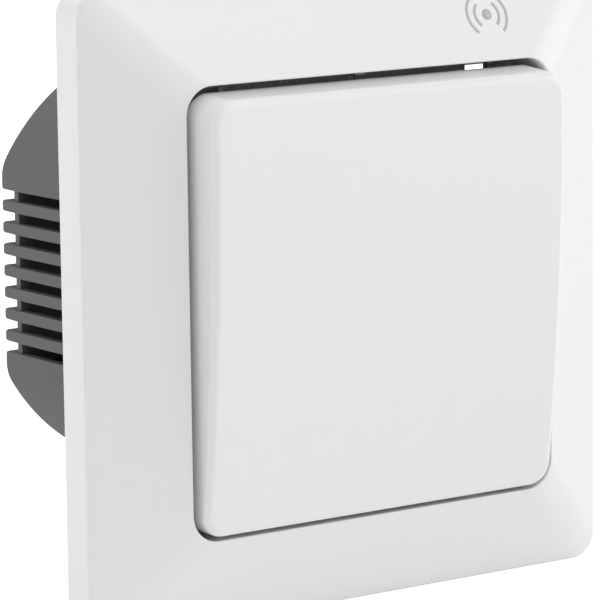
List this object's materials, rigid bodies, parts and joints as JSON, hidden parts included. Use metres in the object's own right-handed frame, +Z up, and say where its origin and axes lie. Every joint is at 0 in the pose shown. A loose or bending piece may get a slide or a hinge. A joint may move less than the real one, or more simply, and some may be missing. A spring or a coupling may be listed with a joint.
{
  "type": "wireless wall switch",
  "caption": "Flush-mounted wireless wall switch: square cover frame with sloping facets, a large tilting rocker, and a round vented insert with flats behind a steel support plate.",
  "frame": {"origin": "centre of the box-screw slots in the wall plane, behind the middle of the cover frame", "axes": "+Y into the wall, along the insert; +Z up; +X to the right as seen from the room"},
  "size_m": [0.0804, 0.0533, 0.0804],
  "materials": {
    "white_plastic": "satin white moulding",
    "dark_plastic": "fine-grained dark grey moulding",
    "zinc_steel": "zinc-plated",
    "spring_steel": "drawn wire",
    "switch_plastic": "moulded",
    "circuit_board": "solder mask",
    "module_board": "solder mask",
    "shield_metal": "tinned",
    "chip_resin": "moulded resin",
    "antenna_wire": "enamelled wire",
    "header_plastic": "moulded",
    "relay_case": "moulded case",
    "film_case": "moulded case",
    "can_sleeve": "sleeved can",
    "varistor_coat": "dipped epoxy",
    "fuse_case": "moulded case",
    "ferrite": "sintered",
    "bobbin_tape": "wound and taped",
    "terminal_plastic": "moulded",
    "clamp_brass": "plated"
  },
  "bodies": {
    "base": {"cover_frame": "white_plastic", "retaining_ring": "dark_plastic", "support_plate": "zinc_steel", "front_housing": "dark_plastic", "rear_housing": "dark_plastic", "housing_screws": "zinc_steel", "toggle_spring": "spring_steel", "upper_switch": "switch_plastic", "lower_switch": "switch_plastic", "control_board": "circuit_board", "power_board": "circuit_board", "radio_module": "module_board", "radio_shield": "shield_metal", "control_chip": "chip_resin", "antenna": "antenna_wire", "board_header": "header_plastic", "relay": "relay_case", "film_capacitor": "film_case", "smoothing_capacitor": "can_sleeve", "varistor": "varistor_coat", "fuse": "fuse_case", "transformer_core": "ferrite", "transformer_bobbin": "bobbin_tape", "terminal_block": "terminal_plastic", "terminal_clamps": "clamp_brass", "terminal_screws": "zinc_steel"},
    "rocker": {"rocker_button": "white_plastic", "rocker_cradle": "dark_plastic"},
    "upper_plunger_body": {"upper_plunger": "switch_plastic"},
    "lower_plunger_body": {"lower_plunger": "switch_plastic"}
  },
  "joints": [
    {"name": "rocker_tilt", "type": "hinge", "parent": "base", "child": "rocker", "pos_m": [0, -0.0062, 0], "axis": [-1, 0, 0], "range_deg": [0, 7.4]},
    {"name": "upper_plunger_slide", "type": "slide", "parent": "base", "child": "upper_plunger_body", "axis": [0, 1, 0], "range_m": [0, 0.00111]},
    {"name": "lower_plunger_slide", "type": "slide", "parent": "base", "child": "lower_plunger_body", "axis": [0, -1, 0], "range_m": [0, 0.00111]}
  ],
  "couplings": [
    {"joint": "upper_plunger_slide", "follows": "rocker_tilt", "m_per_rad": 0.008594},
    {"joint": "lower_plunger_slide", "follows": "rocker_tilt", "m_per_rad": 0.008594}
  ]
}
